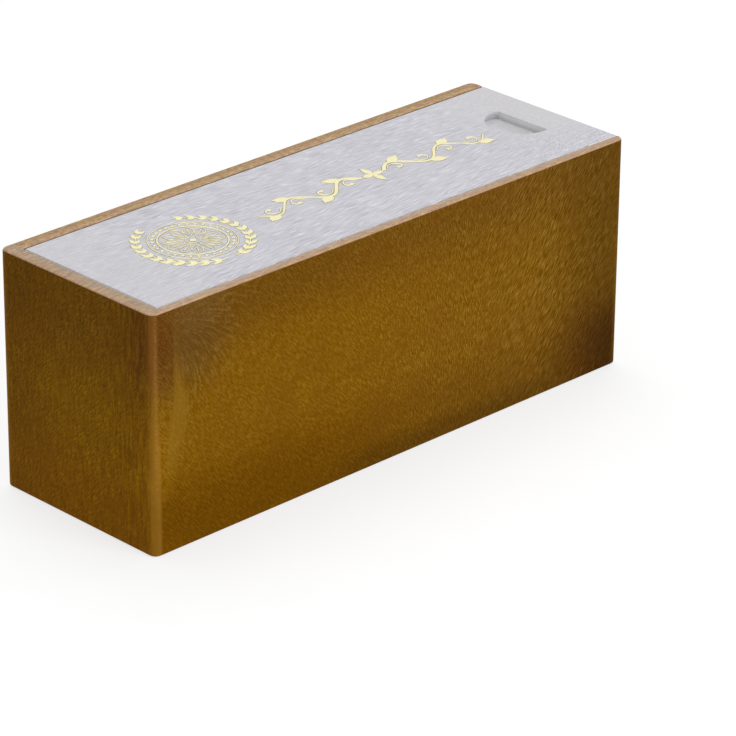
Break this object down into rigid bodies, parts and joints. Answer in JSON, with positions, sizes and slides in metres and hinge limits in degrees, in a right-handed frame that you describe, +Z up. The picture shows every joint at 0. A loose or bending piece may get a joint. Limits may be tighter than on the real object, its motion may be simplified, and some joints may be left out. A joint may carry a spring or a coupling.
{
  "type": "domino storage box",
  "caption": "Lacquered wooden box for a set of domino tiles, with a silver-grey sliding lid that runs in undercut grooves and has a half-moon thumb notch.",
  "frame": {"origin": "middle of the underside", "axes": "+X towards the exit end, the way the lid slides out; +Y across the box; +Z up"},
  "size_m": [0.192, 0.065, 0.075],
  "materials": {
    "lacquered_wood": "brown stain under gloss lacquer",
    "bottom_plywood": "sealed, unstained",
    "lid_finish": "satin silver-grey paint, finely brushed",
    "foil_print": "pale gold foil"
  },
  "bodies": {
    "box": {"closed_end_board": "lacquered_wood", "exit_end_board": "lacquered_wood", "front_board": "lacquered_wood", "back_board": "lacquered_wood", "bottom_panel": "bottom_plywood"},
    "lid": {"lid": "lid_finish"}
  },
  "joints": [
    {"name": "lid_slide", "type": "slide", "parent": "box", "child": "lid", "axis": [1, 0, 0], "range_m": [0, 0.19]}
  ]
}
